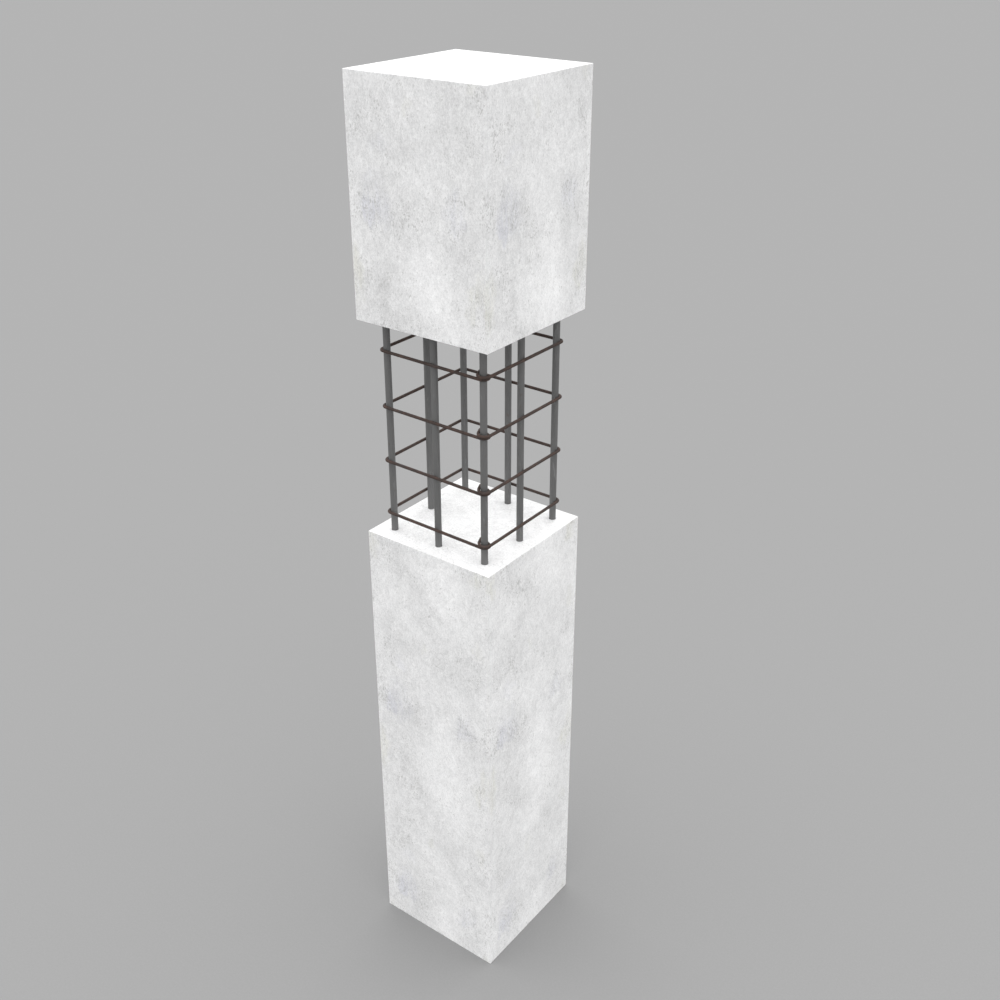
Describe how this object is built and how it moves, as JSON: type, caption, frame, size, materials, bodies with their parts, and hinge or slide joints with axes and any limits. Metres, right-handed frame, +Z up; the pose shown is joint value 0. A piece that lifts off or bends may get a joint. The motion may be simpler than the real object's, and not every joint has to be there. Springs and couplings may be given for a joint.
{
  "type": "reinforced concrete column with bare reinforcement",
  "caption": "Square concrete column cast round upright steel bars, with the bars and hooked ties left bare between a tall lower block and a shorter upper block. Stands on its flat underside.",
  "frame": {"origin": "middle of the flat underside of the lower block", "axes": "+Z up along the column, -Y out of the front face, +X out of the right face; the ties are hooked at the +X -Y bar"},
  "size_m": [0.4, 0.4, 2.507],
  "materials": {
    "concrete": "light grey cast concrete, dry and matt, with streaks, fine pores and dark specks",
    "bar_steel": "grey hot rolled steel with dull mill scale",
    "tie_wire": "dark steel wire with an even brown film of rust"
  },
  "bodies": {
    "root": {"lower_block": "concrete", "upper_block": "concrete", "bar_front_left": "bar_steel", "bar_front_middle": "bar_steel", "bar_front_right": "bar_steel", "bar_middle_left": "bar_steel", "bar_middle_right": "bar_steel", "bar_back_left": "bar_steel", "bar_back_middle": "bar_steel", "bar_back_right": "bar_steel", "tie_1": "tie_wire", "tie_2": "tie_wire", "tie_3": "tie_wire", "tie_4": "tie_wire"}
  },
  "joints": []
}
